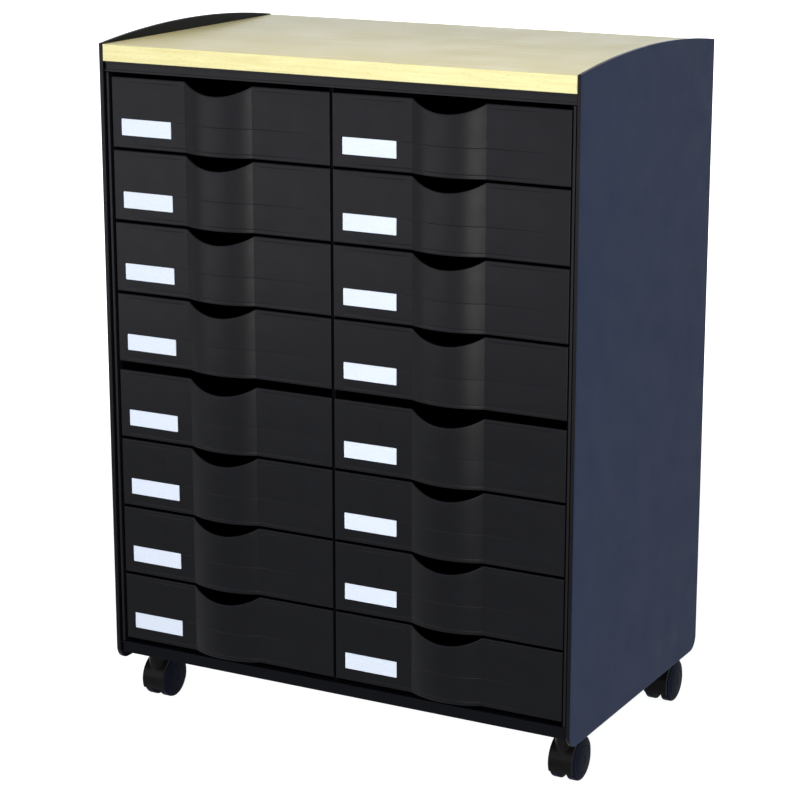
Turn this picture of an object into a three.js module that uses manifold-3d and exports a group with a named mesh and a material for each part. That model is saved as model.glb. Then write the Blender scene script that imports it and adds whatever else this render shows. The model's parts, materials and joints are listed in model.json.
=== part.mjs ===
// Mobile drawer unit: two columns of eight drawers on four swivel casters.
// Millimetres, +Z up, front towards -Y, the origin on the floor under the middle of the unit.
import * as THREE from "three";
import { mergeVertices } from "three/addons/utils/BufferGeometryUtils.js";
import Module from "manifold-3d";

const wasm = await Module();
wasm.setup();

// Driving sizes of the whole unit
const unitWidth = 600;
const unitDepth = 370;
const casterHeight = 70;
const seatGap = 0.3; // left wherever one piece rests against another
const cutOverrun = 5; // how far a cutting solid reaches past what it cuts
const joinDepth = 1; // how far two shapes of one moulding run into each other

// Drawers: a front panel with a bulge in its middle, and a tray behind it
const columns = ["left", "right"];
const tiers = ["lower", "upper"];
const drawersInTier = 4;
const frontSideGap = 7.35; // from the inside of a side panel to the side of the nearest front
const frontHeight = 81.1;
const frontThickness = 2.5;
const frontSetback = 5.3; // from the side panels' front edges to the flat of a front
const columnSeam = 2.9;
const rowSeam = 2.8;
const tierEdge = 5; // above the top front and below the bottom front of a tier
const bulgeWidth = 88.5;
const bulgeProud = 10.7;
const scoopDepth = 13.2;
const arcSteps = 6; // a round edge has twice as many straight pieces
const drawerTravel = 250;

// Label cards, each in a shallow pocket of its front
const labelWidth = 66.6;
const labelHeight = 19;
const labelThickness = 0.7;
const labelInset = 12.8;
const labelRise = 14.5;
const labelPlay = 0.8;

// Tray behind a front
const trayWall = 1.8;
const trayLift = 2.5; // tray floor above the front's lower edge
const trayRimDrop = 12.3; // from a front's top edge down to the tray's rim
const rimThickness = 2.5;
const rimReach = 5.5;
const trayRearRoom = 6;
const stopTabLength = 4;
const stopTabHeight = 2.5;
const stopTabWidth = 3.2;

// Module housings, one for each column of a tier
const moduleWall = 2;
const moduleGap = 0.6;
const moduleBackRoom = 1;
const moduleMouth = 25; // the floor and roof of a module start this far behind its side walls
const closeGap = 0.4;
const ledgePlay = 1.1; // between a tray's wall and the ledge beside it
const ledgeThickness = 2.5;
const ledgeStart = 2;
const guideThickness = 2;
const guidePlay = 0.3;
const stopLipInset = 4;
const stopLipThickness = 3;
const slidePlay = 0.75;

// Frame: base, two uprights and top frame round the modules
const frameSetback = 3;
const baseHeight = 14;
const topFrameHeight = 12.3;
const frameWall = 1.5;
const uprightThickness = 3.4;
const uprightWall = 1.2;
const uprightLip = 12; // depth of an upright's thick front and rear edges
const uprightPlay = 0.9;
const backPanelThickness = 3;
const backPanelInset = 1;
const socketBlockWidth = 44;
const socketBlockDepth = 48;
const ribThickness = 4;
const ribRise = 2;

// Board on top and the side panels that rise past it
const boardThickness = 19;
const panelThickness = 5.2;
const panelDrop = 10.6; // side panels below the underside of the base
const panelCornerRise = 1;
const panelCrown = 12;
const panelFootRadius = 17;

// Casters
const casterInset = 27.5; // from the outside of a side panel to the swivel axis
const casterEndInset = 47.575; // from the front or back of the side panels to the swivel axis
const casterTrail = 14;
const wheelRadius = 24.5;
const wheelInnerFace = 5.4; // from the middle of the caster to the inside of a wheel
const wheelInnerBevel = 1.6;
const wheelTread = 6.2;
const wheelEdgeRise = 1.7;
const wheelEdgeDrop = 0.6;
const wheelShoulderRise = 0.9;
const wheelShoulderDrop = 2.4;
const wheelDishRise = 1;
const wheelDishRadius = 15;
const wheelCrownRise = 0.7;
const wheelSegments = 24;
const axleRadius = 3;
const axleReach = 13;
const axlePlay = 0.3;
const wheelPlay = 0.6; // between a wheel and the cover round it
const hoodWall = 1.9;
const hoodHalfWidth = 14.5;
const hoodForward = 0.9;
const hoodLift = 0.6;
const webPlay = 0.4; // between a wheel and the web beside it
const hoodFloorGap = 14.5;
const hoodSegments = 24;
const neckRadius = 11;
const neckGap = 0.5;
const neckDip = 10; // foot of the neck above the middle of the cover
const stemRadius = 5.5;
const stemPlay = 0.3;
const stemRise = 10;
const stemDrop = 13;
const collarRadius = 13;
const collarThickness = 2.5;
const roundSegments = 16;

// Heights and places that follow from the sizes above
const rowPitch = frontHeight + rowSeam;
const tierHeight = 2 * tierEdge + drawersInTier * rowPitch - rowSeam;
const baseTop = casterHeight + baseHeight;
const topFrameBottom = baseTop + tiers.length * tierHeight;
const boardBottom = topFrameBottom + topFrameHeight;
const boardTop = boardBottom + boardThickness;
const panelInner = unitWidth / 2 - panelThickness;
const frameHalf = panelInner - seatGap;
const backPanelFront = unitDepth - backPanelInset - backPanelThickness;
const frameBack = backPanelFront - seatGap;
const frontWidth = (unitWidth - columnSeam) / 2 - panelThickness - frontSideGap;
const columnPitch = frontWidth + columnSeam;
const moduleHalf = (columnPitch - moduleGap) / 2;
const moduleInner = moduleHalf - moduleWall;
const frontBack = frontSetback + frontThickness;
const moduleFront = frontBack + closeGap;
const moduleBack = frameBack - moduleBackRoom;
const trayBack = moduleBack - moduleWall - trayRearRoom;
const rimHalf = moduleInner - slidePlay;
const trayHalf = rimHalf - rimReach;
const ledgeInner = trayHalf + ledgePlay;
const trayRimHeight = frontHeight - trayRimDrop;
const ledgeTop = trayRimHeight - rimThickness - seatGap;
const guideBottom = trayRimHeight + stopTabHeight + guidePlay;
const stopLipFront = moduleFront + stopLipInset;
const stopLipBack = stopLipFront + stopLipThickness;
const stopTabFront = stopLipBack + drawerTravel + seatGap;
const bulgeRadius = (bulgeWidth ** 2 / 4 + bulgeProud ** 2) / (2 * bulgeProud);
const bulgeCentre = frontSetback - bulgeProud + bulgeRadius;
const scoopRadius = (bulgeWidth ** 2 / 4 + scoopDepth ** 2) / (2 * scoopDepth);
const stemX = unitWidth / 2 - casterInset;
const casterSpacing = unitDepth - 2 * casterEndInset;
const hoodCavityRadius = wheelRadius + wheelPlay;
const hoodRadius = hoodCavityRadius + hoodWall;
const hoodWebHalf = wheelInnerFace - webPlay;
const middleY = unitDepth / 2;

// Colours, roughness and metalness of the finishes
const finish = (color, roughness) => new THREE.MeshStandardMaterial({ color, roughness, metalness: 0 });
const charcoal = finish(0x313133, 0.45);
const slate = finish(0x323a50, 0.5);
const frameBlack = finish(0x232326, 0.5);
const moduleBlack = finish(0x161618, 0.6);
const beech = finish(0xe2d6ae, 0.55);
const cardWhite = finish(0xe9f0fa, 0.6);
const casterBlack = finish(0x1a1a1c, 0.4);
const zinc = new THREE.MeshStandardMaterial({ color: 0xa9abad, roughness: 0.35, metalness: 1 });

// A closed geometry as a solid that can be joined and cut
function solidOf(geometry) {
  const plain = geometry.clone();
  plain.deleteAttribute("normal");
  plain.deleteAttribute("uv");
  const merged = mergeVertices(plain);
  return new wasm.Manifold(
    new wasm.Mesh({
      numProp: 3,
      vertProperties: merged.attributes.position.array,
      triVerts: new Uint32Array(merged.index.array),
    }),
  );
}

// A named mesh of a solid
function meshOf(name, solid, material) {
  const { vertProperties, triVerts } = solid.getMesh();
  const geometry = new THREE.BufferGeometry()
    .setAttribute("position", new THREE.BufferAttribute(vertProperties, 3))
    .setIndex(new THREE.BufferAttribute(triVerts, 1));
  const mesh = new THREE.Mesh(geometry, material);
  mesh.name = name;
  return mesh;
}

// A block between two places on each axis
function block([x0, x1], [y0, y1], [z0, z1]) {
  const box = new THREE.BoxGeometry(x1 - x0, y1 - y0, z1 - z0);
  return solidOf(box.translate((x0 + x1) / 2, (y0 + y1) / 2, (z0 + z1) / 2));
}

function extrude(shape, depth, matrix) {
  const options = { depth, bevelEnabled: false, steps: 1, curveSegments: arcSteps };
  return solidOf(new THREE.ExtrudeGeometry(shape, options).applyMatrix4(matrix));
}

// A plan outline in X and Y, raised from z0 to z1
function raise(shape, [z0, z1]) {
  return extrude(shape, z1 - z0, new THREE.Matrix4().makeTranslation(0, 0, z0));
}

// A side outline in Y and Z, run from x0 to x1
function runAcross(shape, [x0, x1]) {
  const turned = new THREE.Matrix4(0, 0, 1, x0, 1, 0, 0, 0, 0, 1, 0, 0, 0, 0, 0, 1);
  return extrude(shape, x1 - x0, turned);
}

// A round bar along X or Z
function barAlongX(radius, [x0, x1], y, z, segments = roundSegments) {
  const bar = new THREE.CylinderGeometry(radius, radius, x1 - x0, segments);
  return solidOf(bar.rotateZ(-Math.PI / 2).translate((x0 + x1) / 2, y, z));
}

function barAlongZ(radius, x, y, [z0, z1]) {
  const bar = new THREE.CylinderGeometry(radius, radius, z1 - z0, roundSegments);
  return solidOf(bar.rotateX(Math.PI / 2).translate(x, y, (z0 + z1) / 2));
}

// Ways from the centre of an arc, as angles in its outline
const upward = Math.PI / 2;
const backward = Math.PI;
const downward = 1.5 * Math.PI;
const forward = 2 * Math.PI;

// Both sides of a symmetrical pair, as -1 and 1
const bothSides = [-1, 1];

// The range between two distances from the middle, on one side
function sideRange(side, inner, outer) {
  return side < 0 ? [-outer, -inner] : [inner, outer];
}

// Plan of the bulge behind the front's surface, from the arc back to backY
function bulgePlan(radius, backY, flatY, halfWidth) {
  const rise = bulgeCentre - flatY;
  const halfChord = Math.sqrt(radius ** 2 - rise ** 2);
  const angle = Math.atan2(rise, halfChord);
  const plan = new THREE.Shape();
  plan.moveTo(-halfWidth, backY);
  plan.lineTo(-halfWidth, flatY);
  plan.lineTo(-halfChord, flatY);
  plan.absarc(0, bulgeCentre, radius, Math.PI + angle, 2 * Math.PI - angle, false);
  plan.lineTo(halfWidth, flatY);
  plan.lineTo(halfWidth, backY);
  plan.closePath();
  return plan;
}

// One drawer: front, floor, walls and sliding rims as a single moulding, its front's lower edge at z = 0
function drawerSolid() {
  const frontHalf = frontWidth / 2;
  const floorTop = trayLift + trayWall;
  const inner = trayHalf - trayWall;
  const overTop = frontHeight + cutOverrun;
  let drawer = raise(bulgePlan(bulgeRadius, frontBack, frontSetback, frontHalf), [0, frontHeight])
    .add(block([-trayHalf, trayHalf], [frontBack - joinDepth, trayBack], [trayLift, trayRimHeight]));
  for (const side of bothSides) {
    const rim = sideRange(side, trayHalf - joinDepth, rimHalf);
    const rimHeight = [trayRimHeight - rimThickness, trayRimHeight];
    const tab = sideRange(side, rimHalf - stopTabWidth, rimHalf);
    const tabHeight = [trayRimHeight - joinDepth, trayRimHeight + stopTabHeight];
    drawer = drawer
      .add(block(rim, [frontBack - joinDepth, trayBack], rimHeight))
      .add(block(tab, [stopTabFront, stopTabFront + stopTabLength], tabHeight));
  }
  const hollow = block([-inner, inner], [frontBack, trayBack - trayWall], [floorTop, overTop]);
  const innerRadius = bulgeRadius - frontThickness;
  const innerFlat = frontBack + joinDepth;
  const bulgeHollow = bulgePlan(innerRadius, innerFlat + joinDepth, innerFlat, bulgeWidth / 2);
  const scoopCentre = frontHeight - scoopDepth + scoopRadius;
  const scoopHalfAngle = Math.asin(bulgeWidth / 2 / scoopRadius);
  const scoop = new THREE.Shape();
  scoop.moveTo(-bulgeWidth / 2, overTop);
  scoop.lineTo(-bulgeWidth / 2, frontHeight);
  scoop.absarc(0, scoopCentre, scoopRadius, downward - scoopHalfAngle, downward + scoopHalfAngle, false);
  scoop.lineTo(bulgeWidth / 2, overTop);
  scoop.closePath();
  const scoopRun = bulgeProud + frontThickness + 2 * cutOverrun;
  const scoopFrom = frontBack + cutOverrun;
  const upright = new THREE.Matrix4(1, 0, 0, 0, 0, 0, -1, scoopFrom, 0, 1, 0, 0, 0, 0, 0, 1);
  const pocketLeft = labelInset - labelPlay - frontHalf;
  const pocketWidth = labelWidth + 2 * labelPlay;
  const pocketFrom = labelRise - labelPlay;
  const pocketBack = frontSetback + labelThickness + seatGap;
  const pocket = block(
    [pocketLeft, pocketLeft + pocketWidth],
    [frontSetback - cutOverrun, pocketBack],
    [pocketFrom, pocketFrom + labelHeight + 2 * labelPlay],
  );
  return drawer
    .subtract(hollow)
    .subtract(raise(bulgeHollow, [floorTop, overTop]))
    .subtract(extrude(scoop, scoopRun, upright))
    .subtract(pocket);
}

// The card of one drawer, in the same place as its pocket
function labelSolid() {
  const left = labelInset - frontWidth / 2;
  return block(
    [left, left + labelWidth],
    [frontSetback, frontSetback + labelThickness],
    [labelRise, labelRise + labelHeight],
  );
}

// One module housing: an open-fronted box with a ledge and a guide on each side for each drawer
function moduleSolid() {
  const top = tierHeight;
  const inside = [-moduleInner, moduleInner];
  const mouth = [moduleFront - cutOverrun, moduleFront + moduleMouth];
  const room = [moduleFront, moduleBack - moduleWall];
  let housing = block([-moduleHalf, moduleHalf], [moduleFront, moduleBack], [seatGap, top])
    .subtract(block(inside, room, [seatGap + moduleWall, top - moduleWall]))
    .subtract(block(inside, mouth, [-cutOverrun, top + cutOverrun]));
  for (let row = 0; row < drawersInTier; row += 1) {
    const foot = tierEdge + row * rowPitch;
    const runs = [moduleFront + ledgeStart, moduleBack - joinDepth];
    const ledgeHeight = [foot + ledgeTop - ledgeThickness, foot + ledgeTop];
    const guideHeight = [foot + guideBottom, foot + guideBottom + guideThickness];
    const lipHeight = [foot + trayRimHeight + guidePlay, foot + guideBottom + joinDepth];
    for (const side of bothSides) {
      const reach = sideRange(side, ledgeInner, moduleInner + joinDepth);
      housing = housing
        .add(block(reach, runs, ledgeHeight))
        .add(block(reach, runs, guideHeight))
        .add(block(reach, [stopLipFront, stopLipBack], lipHeight));
    }
  }
  return housing;
}

// A shallow tray of sheet, open below, as wide and deep as the frame
function framePan([z0, z1]) {
  const outer = block([-frameHalf, frameHalf], [frameSetback, frameBack], [z0, z1]);
  const half = frameHalf - frameWall;
  const inner = [frameSetback + frameWall, frameBack - frameWall];
  return outer.subtract(block([-half, half], inner, [z0 - cutOverrun, z1 - frameWall]));
}

// Where the four swivel axes stand
const casterPlaces = [];
for (const [end, endSign] of [["front", -1], ["rear", 1]]) {
  const y = middleY + (endSign * casterSpacing) / 2;
  for (const [column, side] of [["left", -1], ["right", 1]]) {
    casterPlaces.push({ name: `caster_${end}_${column}`, x: side * stemX, y });
  }
}

// Base: a pan with ribs below its top and a socket block over each caster
function baseSolid() {
  const underTop = baseTop - frameWall;
  const ribHeight = [casterHeight + ribRise, underTop + joinDepth];
  const withinX = [joinDepth - frameHalf, frameHalf - joinDepth];
  const withinY = [frameSetback + joinDepth, frameBack - joinDepth];
  let base = framePan([casterHeight, baseTop])
    .add(block([-ribThickness / 2, ribThickness / 2], withinY, ribHeight))
    .add(block(withinX, [middleY - ribThickness / 2, middleY + ribThickness / 2], ribHeight));
  for (const { x, y } of casterPlaces) {
    const inward = Math.abs(x) - socketBlockWidth / 2;
    const blockX = sideRange(Math.sign(x), inward, frameHalf - joinDepth);
    const blockY = [y - socketBlockDepth / 2, y + socketBlockDepth / 2];
    base = base.add(block(blockX, blockY, [casterHeight, underTop + joinDepth]));
  }
  for (const { x, y } of casterPlaces) {
    const socketTop = casterHeight + stemRise + seatGap;
    base = base.subtract(barAlongZ(stemRadius + stemPlay, x, y, [casterHeight - cutOverrun, socketTop]));
  }
  return base;
}

// Side panel: crowned top edge and rounded lower corners
function sidePanelSolid(side) {
  const foot = casterHeight - panelDrop;
  const shoulder = boardTop + panelCornerRise;
  const crownRadius = (unitDepth ** 2 / 4 + panelCrown ** 2) / (2 * panelCrown);
  const crownHalfAngle = Math.asin(unitDepth / 2 / crownRadius);
  const crownCentre = shoulder + panelCrown - crownRadius;
  const footCentre = foot + panelFootRadius;
  const outline = new THREE.Shape();
  outline.moveTo(0, shoulder);
  outline.lineTo(0, footCentre);
  outline.absarc(panelFootRadius, footCentre, panelFootRadius, backward, downward, false);
  outline.lineTo(unitDepth - panelFootRadius, foot);
  outline.absarc(unitDepth - panelFootRadius, footCentre, panelFootRadius, downward, forward, false);
  outline.lineTo(unitDepth, shoulder);
  outline.absarc(middleY, crownCentre, crownRadius, upward - crownHalfAngle, upward + crownHalfAngle, false);
  return runAcross(outline, sideRange(side, panelInner, unitWidth / 2));
}

// Upright of the frame, between the base and the top frame: a sheet with a thick front and rear edge
function uprightSolid(side) {
  const inner = columnPitch / 2 + moduleHalf + uprightPlay;
  const outer = inner + uprightThickness;
  const height = [baseTop + seatGap, topFrameBottom - seatGap];
  return block(sideRange(side, inner, outer), [frameSetback, frameBack], height).subtract(
    block(
      sideRange(side, inner + uprightWall, outer + cutOverrun),
      [frameSetback + uprightLip, frameBack - uprightLip],
      [height[0] - cutOverrun, height[1] + cutOverrun],
    ),
  );
}

// Steel stem of a caster with its collar, the swivel axis at x = y = 0
function stemSolid() {
  const collarTop = casterHeight - seatGap;
  return barAlongZ(stemRadius, 0, 0, [collarTop - collarThickness - stemDrop, casterHeight + stemRise])
    .add(barAlongZ(collarRadius, 0, 0, [collarTop - collarThickness, collarTop]));
}

// Hood of a caster: a round cover over both wheels, the web between them, the axle and the swivel neck
function hoodSolid() {
  const axleY = casterTrail;
  const neckTop = casterHeight - seatGap - collarThickness - neckGap;
  const socketFoot = casterHeight - seatGap - collarThickness - stemDrop - seatGap;
  const coverY = axleY - hoodForward;
  const coverZ = wheelRadius + hoodLift;
  const outside = hoodHalfWidth + cutOverrun;
  const reach = hoodRadius + cutOverrun;
  let hood = barAlongX(hoodRadius, [-hoodHalfWidth, hoodHalfWidth], coverY, coverZ, hoodSegments)
    .add(barAlongZ(neckRadius, 0, 0, [coverZ + neckDip, neckTop]));
  for (const side of bothSides) {
    const cavity = sideRange(side, hoodWebHalf, outside);
    hood = hood.subtract(barAlongX(hoodCavityRadius, cavity, axleY, wheelRadius, hoodSegments));
  }
  return hood
    .subtract(block([-outside, outside], [coverY - reach, coverY + reach], [-cutOverrun, hoodFloorGap]))
    .add(barAlongX(axleRadius, [-axleReach, axleReach], axleY, wheelRadius))
    .subtract(barAlongZ(stemRadius + stemPlay, 0, 0, [socketFoot, neckTop + cutOverrun]));
}

// One wheel: tread, rounded shoulder and shallow domed cap, with a blind bore for the axle
function wheelSolid(side) {
  const bore = axleRadius + axlePlay;
  const boreEnd = axleReach + axlePlay;
  const treadStart = wheelInnerFace + wheelInnerBevel;
  const treadEnd = treadStart + wheelTread;
  const edge = treadEnd + wheelEdgeRise;
  const shoulder = edge + wheelShoulderRise;
  const dish = shoulder + wheelDishRise;
  const profile = [
    [0, boreEnd],
    [bore, boreEnd],
    [bore, wheelInnerFace],
    [wheelRadius - wheelEdgeDrop, wheelInnerFace],
    [wheelRadius, treadStart],
    [wheelRadius, treadEnd],
    [wheelRadius - wheelEdgeDrop, edge],
    [wheelRadius - wheelShoulderDrop, shoulder],
    [wheelDishRadius, dish],
    [0, dish + wheelCrownRise],
  ].map(([radius, reach]) => new THREE.Vector2(radius, reach));
  const wheel = new THREE.LatheGeometry(profile, wheelSegments);
  wheel.rotateZ((-side * Math.PI) / 2);
  return solidOf(wheel.translate(0, casterTrail, wheelRadius));
}

// The unit, stood with its box centred on the origin
const unit = new THREE.Group();
unit.name = "mobile_drawer_unit";
const assembly = new THREE.Group();
assembly.position.y = -(unitDepth + frontSetback - bulgeProud) / 2;
unit.add(assembly);

assembly.add(
  meshOf("base_frame", baseSolid(), frameBlack),
  meshOf("top_frame", framePan([topFrameBottom + seatGap, boardBottom - seatGap]), frameBlack),
  meshOf("top_board", block([-frameHalf, frameHalf], [0, unitDepth], [boardBottom, boardTop]), beech),
  meshOf(
    "back_panel",
    block(
      [-frameHalf, frameHalf],
      [backPanelFront, backPanelFront + backPanelThickness],
      [casterHeight, boardBottom - seatGap],
    ),
    frameBlack,
  ),
);
columns.forEach((column, index) => {
  const side = bothSides[index];
  assembly.add(meshOf(`side_panel_${column}`, sidePanelSolid(side), slate));
  assembly.add(meshOf(`frame_upright_${column}`, uprightSolid(side), frameBlack));
});

// Modules and drawers, numbered from the top row down
const housing = moduleSolid();
const drawer = drawerSolid();
const label = labelSolid();
columns.forEach((column, columnIndex) => {
  const columnX = (bothSides[columnIndex] * columnPitch) / 2;
  tiers.forEach((tier, tierIndex) => {
    const tierFoot = baseTop + tierIndex * tierHeight;
    const module = meshOf(`module_${tier}_${column}`, housing, moduleBlack);
    module.position.set(columnX, 0, tierFoot);
    assembly.add(module);
    for (let row = 0; row < drawersInTier; row += 1) {
      const number = (tiers.length - tierIndex) * drawersInTier - row;
      const place = new THREE.Group();
      place.position.set(columnX, 0, tierFoot + tierEdge + row * rowPitch);
      place.add(meshOf(`drawer_${column}_${number}`, drawer, charcoal));
      place.add(meshOf(`label_${column}_${number}`, label, cardWhite));
      assembly.add(place);
    }
  });
});

// Casters, all trailing to the rear
const stem = stemSolid();
const hood = hoodSolid();
for (const { name, x, y } of casterPlaces) {
  const caster = new THREE.Group();
  caster.position.set(x, y, 0);
  caster.add(meshOf(`${name}_stem`, stem, zinc));
  caster.add(meshOf(`${name}_hood`, hood, casterBlack));
  caster.add(meshOf(`${name}_wheel_left`, wheelSolid(-1), casterBlack));
  caster.add(meshOf(`${name}_wheel_right`, wheelSolid(1), casterBlack));
  assembly.add(caster);
}

export default unit;
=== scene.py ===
# Looks of the mobile drawer unit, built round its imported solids.
# Metres, +Z up, the drawer fronts face -Y, the origin on the floor under the middle of the unit.
import json
import math

import bmesh
import bpy
from mathutils import Matrix, Vector


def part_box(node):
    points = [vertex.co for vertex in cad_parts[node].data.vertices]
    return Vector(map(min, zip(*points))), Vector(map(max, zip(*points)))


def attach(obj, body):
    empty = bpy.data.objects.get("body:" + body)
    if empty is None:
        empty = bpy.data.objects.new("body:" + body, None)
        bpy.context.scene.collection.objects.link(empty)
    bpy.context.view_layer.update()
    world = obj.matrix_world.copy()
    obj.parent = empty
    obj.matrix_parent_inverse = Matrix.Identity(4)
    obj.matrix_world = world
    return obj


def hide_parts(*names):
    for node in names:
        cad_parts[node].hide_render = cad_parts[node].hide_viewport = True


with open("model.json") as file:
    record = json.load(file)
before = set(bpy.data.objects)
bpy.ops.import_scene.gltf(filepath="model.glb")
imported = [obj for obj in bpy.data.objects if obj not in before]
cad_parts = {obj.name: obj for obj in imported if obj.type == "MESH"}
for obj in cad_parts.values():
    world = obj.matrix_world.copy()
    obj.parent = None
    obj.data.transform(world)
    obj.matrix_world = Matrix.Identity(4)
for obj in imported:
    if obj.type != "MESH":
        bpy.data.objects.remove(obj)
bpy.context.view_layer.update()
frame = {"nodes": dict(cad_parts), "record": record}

MM = 0.001
COLUMNS = ("left", "right")
TIERS = ("lower", "upper")
ENDS = ("front", "rear")
DRAWERS_IN_COLUMN = 8

# Rounding and smoothness
ROUND_STEPS = 4
CORNER_STEPS = 6
LATHE_STEPS = 72
SHARP_ANGLE = math.radians(32)
FLAT_ANGLE = math.radians(1)  # faces of a solid that meet at less than this are merged
BOX_EDGE_STEPS = 2
EDGE_STEPS = 3
WELD = 0.001 * MM
SEAT_GAP = 0.3 * MM
CAD_LAYERS = ("custom_normal", "sharp_edge", "sharp_face")  # shading that comes with a solid

# Drawer sizes that the boxes of the solids don't give
FRONT_THICKNESS = 2.5 * MM
FRONT_ROUND = 1.3 * MM
BULGE_WIDTH = 88.5 * MM
BULGE_STEPS = 30
BULGE_CREASE = 0.35 * MM
SCOOP_DEPTH = 13.2 * MM
GROOVE_DEPTH = 0.25 * MM
GROOVE_HALF = 0.55 * MM
GROOVE_TAPER = 1.5 * MM
GROOVE_SIDE_INSET = 12.5 * MM
GROOVE_EDGE_INSET = 5 * MM
GROOVE_BULGE_GAP = 2.5 * MM
GROOVE_LABEL_GAP = 4 * MM
SCOOP_LEVEL_START = 40 * MM  # above this height the rows of the front follow the scoop
TRAY_WALL = 1.8 * MM
TRAY_LIFT = 2.5 * MM
TRAY_RIM_DROP = 12.3 * MM
TRAY_SIDE_INSET = 7.1 * MM  # from the side of the front to the tray's wall
TRAY_FOOT_ROUND = 2 * MM
TRAY_FLOOR_FILLET = 2.5 * MM
TRAY_CORNER = 7 * MM
TRAY_FRONT_CORNER = 0.3 * MM
TRAY_IN_FRONT = 1.7 * MM  # where the tray starts, inside the front's thickness
RIM_THICKNESS = 2.5 * MM
RIM_REACH = 5.5 * MM
RIM_ROUND = 0.6 * MM
STOP_TAB = (3.2 * MM, 4 * MM, 2.5 * MM)  # width, length and height
STOP_TAB_BACK = 91.2 * MM  # from the back of the tray to the front of a tab
STOP_TAB_SINK = 1 * MM

# Label cards and their pockets
LABEL_PLAY = 0.8 * MM
LABEL_CORNER = 0.7 * MM
POCKET_DEPTH = 1 * MM
POCKET_CORNER = 1.2 * MM
CARD_ROUND = 0.12 * MM
CARD_EDGE_STEPS = 2

# Frame, board, panels and back
BEAD_PROUD = 0.7 * MM
BEAD_HEIGHT = 2.6 * MM
BEAD_ROUND = 0.5 * MM
BAND_OVERRUN = 2 * MM
FRAME_CORNER = 1.2 * MM
SHEET_ROUND = 0.9 * MM
BOARD_ROUND = 0.7 * MM
PANEL_ROUND = 1.1 * MM
PANEL_CROWN = 12 * MM
PANEL_FOOT_RADIUS = 17 * MM
PANEL_ARC_STEPS = 48
PANEL_FOOT_STEPS = 12
MODULE_ROUND = 0.35 * MM
BACK_ROUND = 0.24 * MM
BOARD_FACE_SHARE = 0.7  # how far up or down a face of the board points to show the face's grain
PANEL_FACE_SHARE = 0.5  # how far out a face of a side panel points to have the slate colour, which holds painted bluish light
SCREW_HEAD_RADIUS = 3.6 * MM
SCREW_HEAD_HEIGHT = 0.85 * MM
SCREW_RIM_SHARE = 0.25  # height of a head's straight rim, as a share of the head
SCREW_STEPS = 24
SCREW_SLOT = (3.6 * MM, 0.8 * MM, 0.6 * MM)  # length, width and depth
SCREW_EDGE_INSET = 6.5 * MM
SCREWS_ACROSS = 4
SCREWS_DOWN = 4

# Casters
WHEEL_INNER_ROUND = 0.6 * MM
WHEEL_SHOULDER = (2.4 * MM, 2.6 * MM)  # how far the rounded shoulder falls in and how wide it is
WHEEL_TREAD_END = 4.3 * MM  # from the tip of the cap back to the end of the tread
WHEEL_SHOULDER_STEPS = 7
CAP_STEPS = 12
CAP_GROOVE_RADIUS = 16.5 * MM
CAP_GROOVE_HALF = 0.6 * MM
CAP_GROOVE_DEPTH = 0.35 * MM
CAP_GROOVE_FLOOR_SHARE = 0.5
HUB_RADIUS = 4.6 * MM
HUB_EDGE = 0.6 * MM
HUB_SINK = 0.35 * MM
AXLE_RADIUS = 3 * MM
AXLE_REACH = 13 * MM
AXLE_ROUND = 0.5 * MM
AXLE_PLAY = 0.3 * MM
WHEEL_PLAY = 0.6 * MM
WEB_PLAY = 0.4 * MM
HOOD_HALF_WIDTH = 14.5 * MM
HOOD_WALL = 1.9 * MM
HOOD_FORWARD = 0.9 * MM
HOOD_LIFT = 0.6 * MM
HOOD_FLOOR_GAP = 14.5 * MM
COVER_ROUND = 0.7 * MM
NECK_RADIUS = 11 * MM
NECK_ROUND = 0.8 * MM
NECK_LIFT = 10 * MM  # from the cover's middle up to the neck's foot
CUT_OVERRUN = 10 * MM  # how far a cutter reaches past what it cuts
STEM_RADIUS = 5.5 * MM
STEM_PLAY = 0.3 * MM
STEM_ROUND = 0.8 * MM
STEM_GROOVE = (0.5 * MM, 1.6 * MM, 4 * MM)  # depth, width and how far below the tip
COLLAR_THICKNESS = 2.5 * MM
COLLAR_ROUND = 0.6 * MM

# Camera: the photograph's viewing angle
CAMERA_AZIMUTH = math.radians(28.3)
CAMERA_ELEVATION = math.radians(14.71)
CAMERA_DISTANCE = 2.9537
CAMERA_TARGET = Vector((-0.0113, 0.0027, 0.3768))
CAMERA_LENS = 112.04
CAMERA_SENSOR = 36


# Mesh building

def link(name, mesh):
    """An object of a mesh, in the scene"""
    thing = bpy.data.objects.new(name, mesh)
    bpy.context.scene.collection.objects.link(thing)
    return thing


def mesh_of(name, build):
    """A closed mesh from a function that fills a bmesh"""
    bm = bmesh.new()
    build(bm)
    bmesh.ops.remove_doubles(bm, verts=bm.verts, dist=WELD)
    bmesh.ops.dissolve_degenerate(bm, edges=bm.edges, dist=WELD)
    bmesh.ops.recalc_face_normals(bm, faces=bm.faces)
    mesh = bpy.data.meshes.new(name)
    bm.to_mesh(mesh)
    bm.free()
    return mesh


def skin(bm, rings, closed=False):
    """Faces between rings of points; the end rings are filled unless the rings run round"""
    rows = [[bm.verts.new(point) for point in ring] for ring in rings]
    pairs = list(zip(rows, rows[1:]))
    if closed:
        pairs.append((rows[-1], rows[0]))
    count = len(rows[0])
    for near, far in pairs:
        for i in range(count):
            j = (i + 1) % count
            bm.faces.new((near[i], near[j], far[j], far[i]))
    if not closed:
        bm.faces.new(rows[0][::-1])
        bm.faces.new(rows[-1])


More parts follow.
